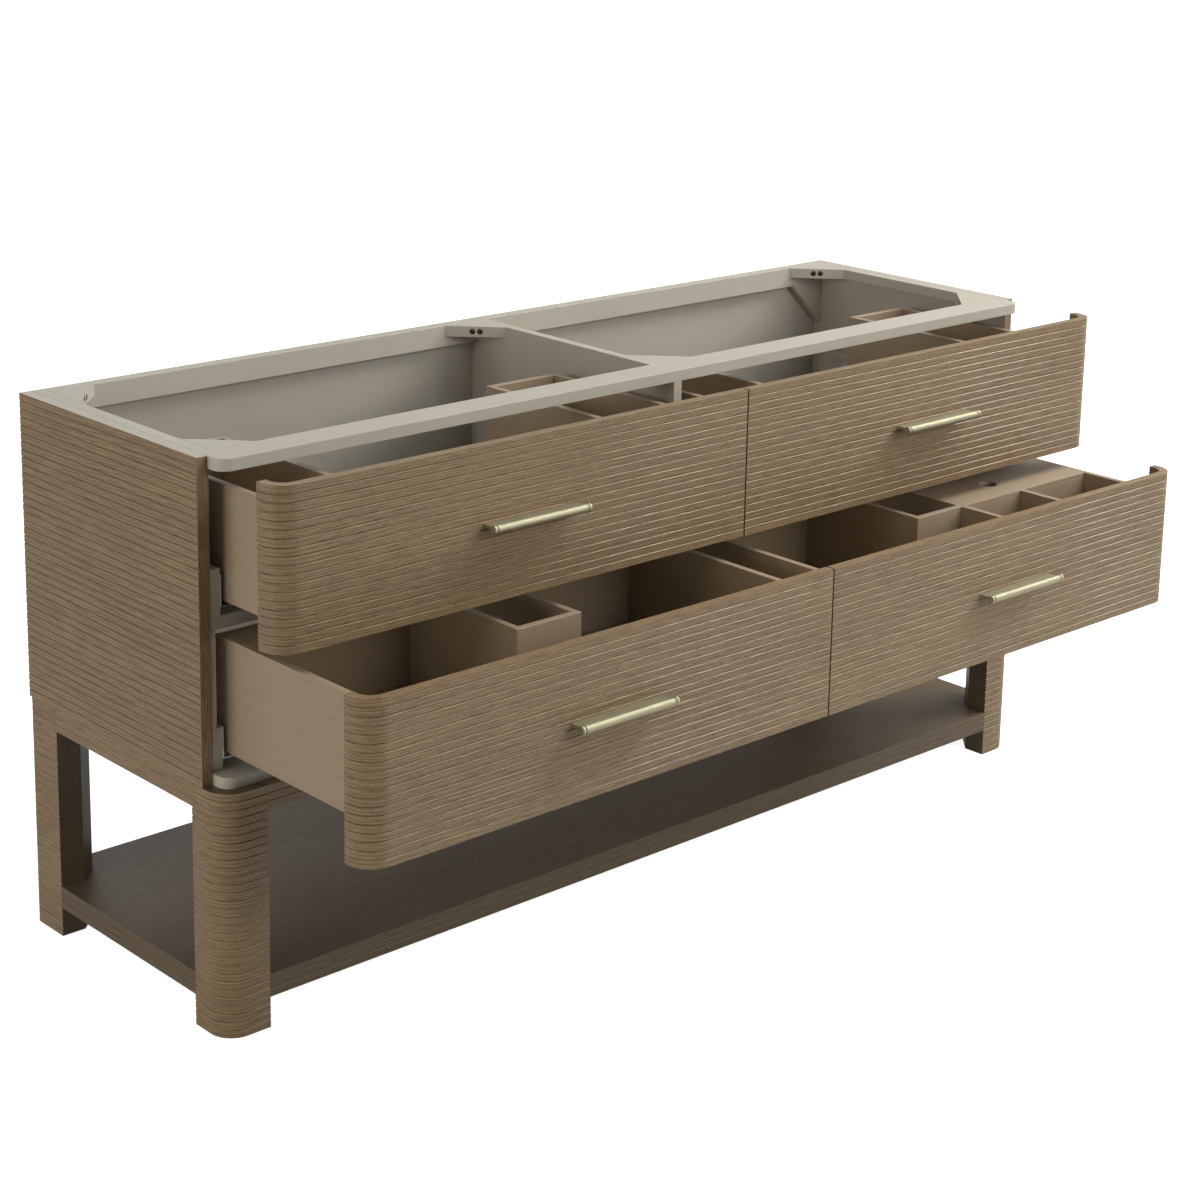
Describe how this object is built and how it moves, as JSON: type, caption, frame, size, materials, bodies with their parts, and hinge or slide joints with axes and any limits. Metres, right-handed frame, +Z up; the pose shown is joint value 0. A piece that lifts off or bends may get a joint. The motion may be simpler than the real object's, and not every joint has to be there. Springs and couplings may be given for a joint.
{
  "type": "bathroom vanity cabinet",
  "caption": "Wide bathroom vanity cabinet with reeded wrap-around drawer fronts, brass bar pulls, an open top frame for basins, reeded legs and a low open shelf.",
  "frame": {"origin": "on the floor, under the centre of the footprint with the drawers open as they stand at rest", "axes": "+X to the right seen from the front, +Y to the back, +Z up; the drawer fronts face -Y"},
  "size_m": [1.829, 0.9149, 0.883],
  "materials": {
    "reeded_oak": "wire-brushed grey-brown oak veneer, reeded, matt lacquer",
    "painted_board": "satin greige paint on solid board",
    "drawer_wood": "sealed light brown hardwood",
    "satin_brass": "satin champagne brass",
    "zinc_steel": "zinc plated",
    "screw_steel": "dark zinc plated"
  },
  "bodies": {
    "carcass": {"apron_back": "reeded_oak", "apron_front": "reeded_oak", "apron_left": "reeded_oak", "apron_right": "reeded_oak", "back_corner_braces": "painted_board", "back_panel": "painted_board", "back_top_stretcher": "painted_board", "bottom_panel": "painted_board", "centre_partition": "painted_board", "corner_gussets": "painted_board", "front_top_rail": "painted_board", "gusset_screws": "screw_steel", "leg_back_left": "reeded_oak", "leg_back_right": "reeded_oak", "leg_front_left": "reeded_oak", "leg_front_right": "reeded_oak", "low_shelf": "reeded_oak", "lower_runner_blocks": "painted_board", "mid_rails": "painted_board", "runner_angles": "zinc_steel", "side_liners": "painted_board", "side_panel_left": "reeded_oak", "side_panel_right": "reeded_oak", "side_top_rails": "painted_board", "upper_runner_blocks": "painted_board"},
    "upper_left_drawer": {"upper_left_box_bottom": "drawer_wood", "upper_left_box_ends": "drawer_wood", "upper_left_box_sides": "drawer_wood", "upper_left_channels": "zinc_steel", "upper_left_front": "reeded_oak", "upper_left_handle": "satin_brass", "upper_left_notch_wall": "drawer_wood"},
    "upper_left_runner": {"upper_left_slides": "zinc_steel"},
    "upper_right_drawer": {"upper_right_box_bottom": "drawer_wood", "upper_right_box_ends": "drawer_wood", "upper_right_box_sides": "drawer_wood", "upper_right_channels": "zinc_steel", "upper_right_front": "reeded_oak", "upper_right_handle": "satin_brass", "upper_right_notch_wall": "drawer_wood"},
    "upper_right_runner": {"upper_right_slides": "zinc_steel"},
    "lower_left_drawer": {"lower_left_box_bottom": "drawer_wood", "lower_left_box_ends": "drawer_wood", "lower_left_box_sides": "drawer_wood", "lower_left_channels": "zinc_steel", "lower_left_front": "reeded_oak", "lower_left_handle": "satin_brass", "lower_left_notch_wall": "drawer_wood"},
    "lower_left_runner": {"lower_left_slides": "zinc_steel"},
    "lower_right_drawer": {"lower_right_box_bottom": "drawer_wood", "lower_right_box_ends": "drawer_wood", "lower_right_box_sides": "drawer_wood", "lower_right_cell_dividers": "drawer_wood", "lower_right_channels": "zinc_steel", "lower_right_front": "reeded_oak", "lower_right_handle": "satin_brass", "lower_right_notch_wall": "drawer_wood", "lower_right_tray": "drawer_wood"},
    "lower_right_runner": {"lower_right_slides": "zinc_steel"}
  },
  "joints": [
    {"name": "upper_left_drawer_slide", "type": "slide", "parent": "carcass", "child": "upper_left_drawer", "axis": [0, -1, 0], "range_m": [-0.143, 0.257]},
    {"name": "upper_left_runner_slide", "type": "slide", "parent": "carcass", "child": "upper_left_runner", "axis": [0, -1, 0], "range_m": [-0.0715, 0.1285]},
    {"name": "upper_right_drawer_slide", "type": "slide", "parent": "carcass", "child": "upper_right_drawer", "axis": [0, -1, 0], "range_m": [-0.143, 0.257]},
    {"name": "upper_right_runner_slide", "type": "slide", "parent": "carcass", "child": "upper_right_runner", "axis": [0, -1, 0], "range_m": [-0.0715, 0.1285]},
    {"name": "lower_left_drawer_slide", "type": "slide", "parent": "carcass", "child": "lower_left_drawer", "axis": [0, -1, 0], "range_m": [-0.34, 0.06]},
    {"name": "lower_left_runner_slide", "type": "slide", "parent": "carcass", "child": "lower_left_runner", "axis": [0, -1, 0], "range_m": [-0.17, 0.03]},
    {"name": "lower_right_drawer_slide", "type": "slide", "parent": "carcass", "child": "lower_right_drawer", "axis": [0, -1, 0], "range_m": [-0.34, 0.06]},
    {"name": "lower_right_runner_slide", "type": "slide", "parent": "carcass", "child": "lower_right_runner", "axis": [0, -1, 0], "range_m": [-0.17, 0.03]}
  ],
  "couplings": [
    {"joint": "upper_left_runner_slide", "follows": "upper_left_drawer_slide", "ratio": 0.5},
    {"joint": "upper_right_runner_slide", "follows": "upper_right_drawer_slide", "ratio": 0.5},
    {"joint": "lower_left_runner_slide", "follows": "lower_left_drawer_slide", "ratio": 0.5},
    {"joint": "lower_right_runner_slide", "follows": "lower_right_drawer_slide", "ratio": 0.5}
  ]
}
